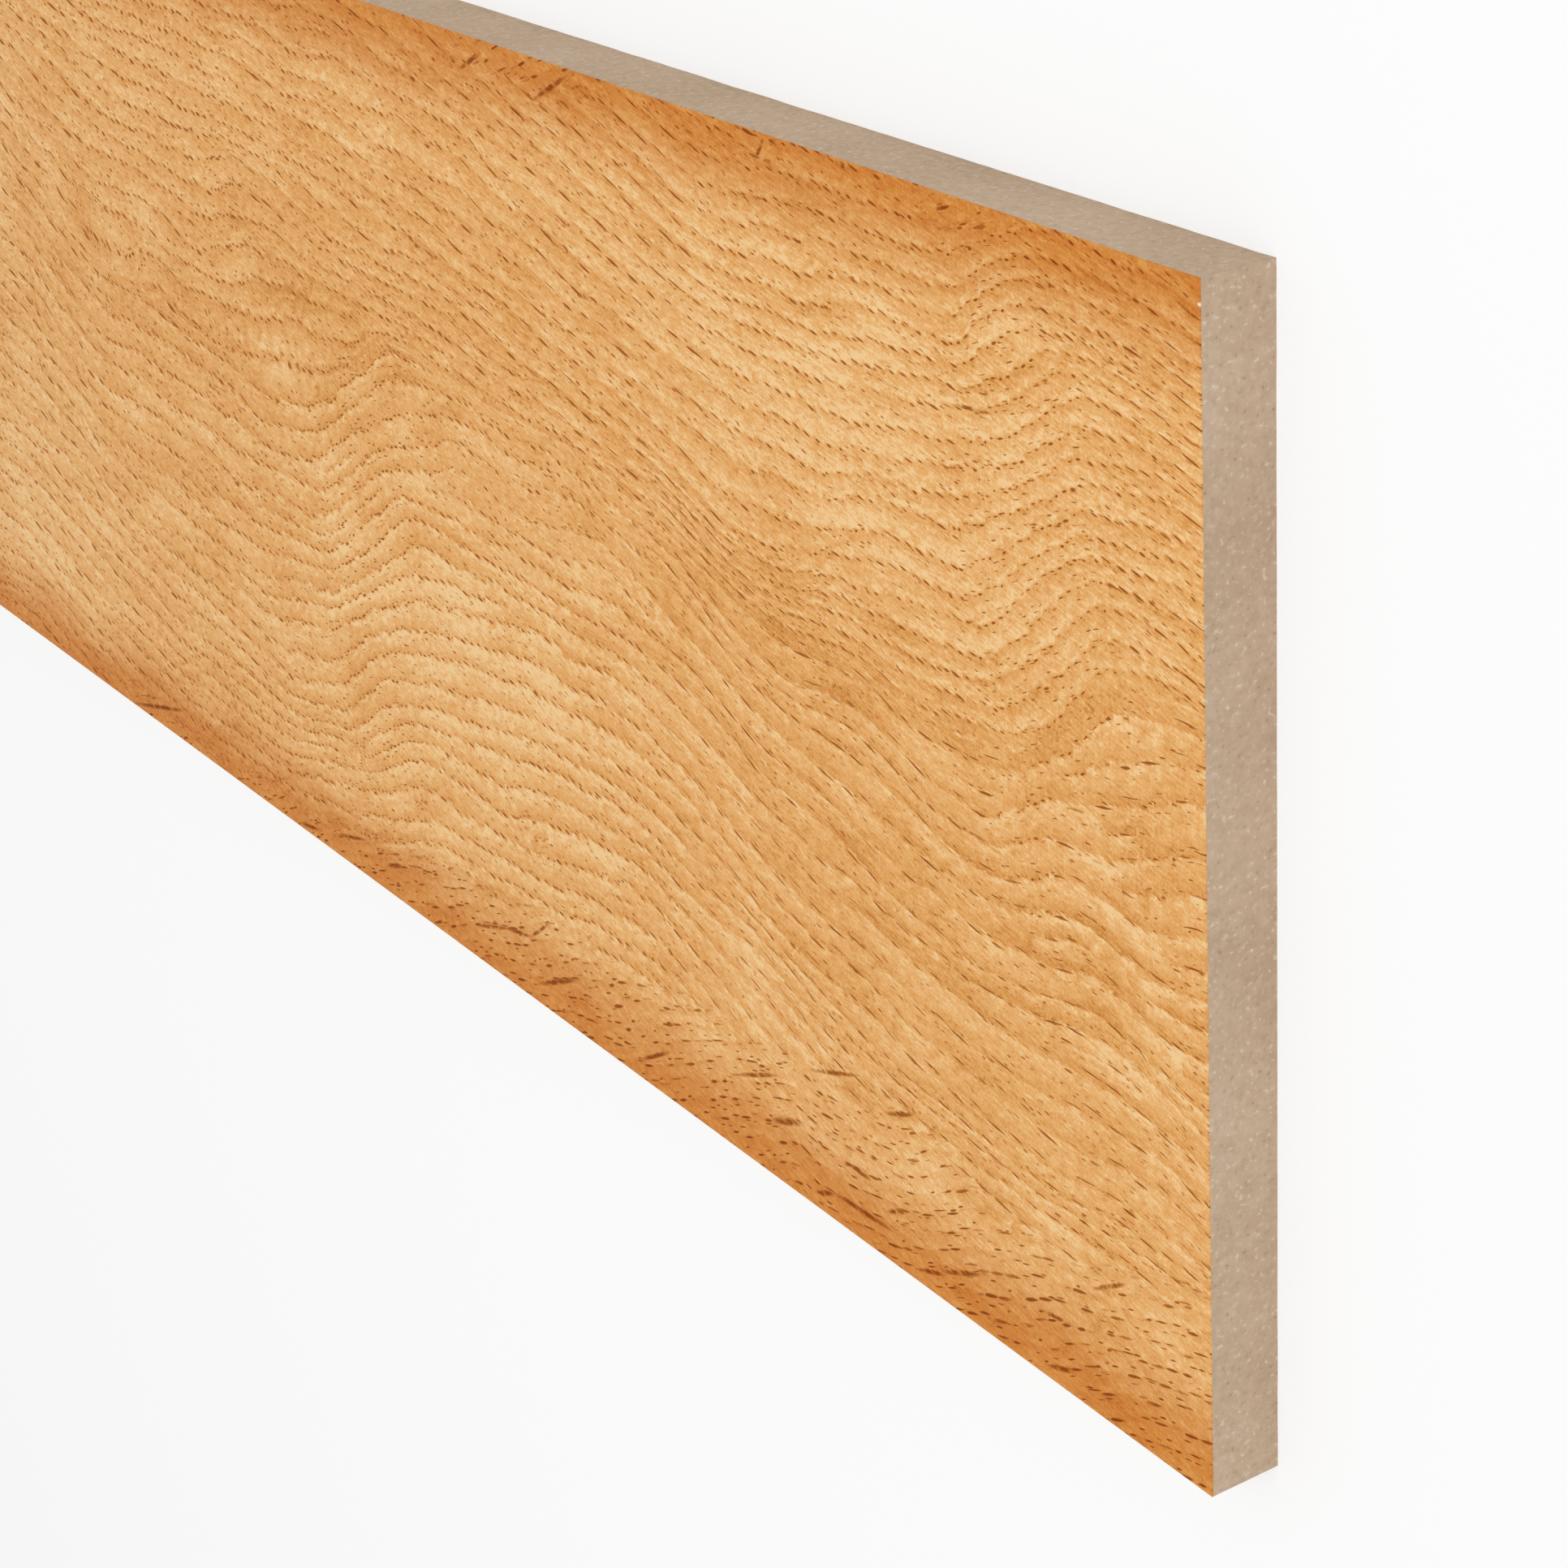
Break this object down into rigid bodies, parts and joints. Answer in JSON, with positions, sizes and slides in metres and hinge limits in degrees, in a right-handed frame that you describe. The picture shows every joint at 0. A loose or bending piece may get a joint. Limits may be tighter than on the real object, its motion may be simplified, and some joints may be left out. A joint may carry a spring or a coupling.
{
  "type": "stair riser board",
  "caption": "Flat rectangular stair riser board: a raw fibreboard core with a wood-print decor film on its front face, fixed upright between two treads to close the step.",
  "frame": {"origin": "middle of the back face, on the surface that the board lies on", "axes": "+X along the board's length, +Y from the riser's bottom edge to its top edge, +Z out of the printed face, which is up as the board lies"},
  "size_m": [1.1938, 0.1874, 0.0127],
  "materials": {
    "fibreboard": "matte",
    "wood_decor": "satin"
  },
  "bodies": {
    "root": {"core_board": "fibreboard", "decor_film": "wood_decor"}
  },
  "joints": []
}
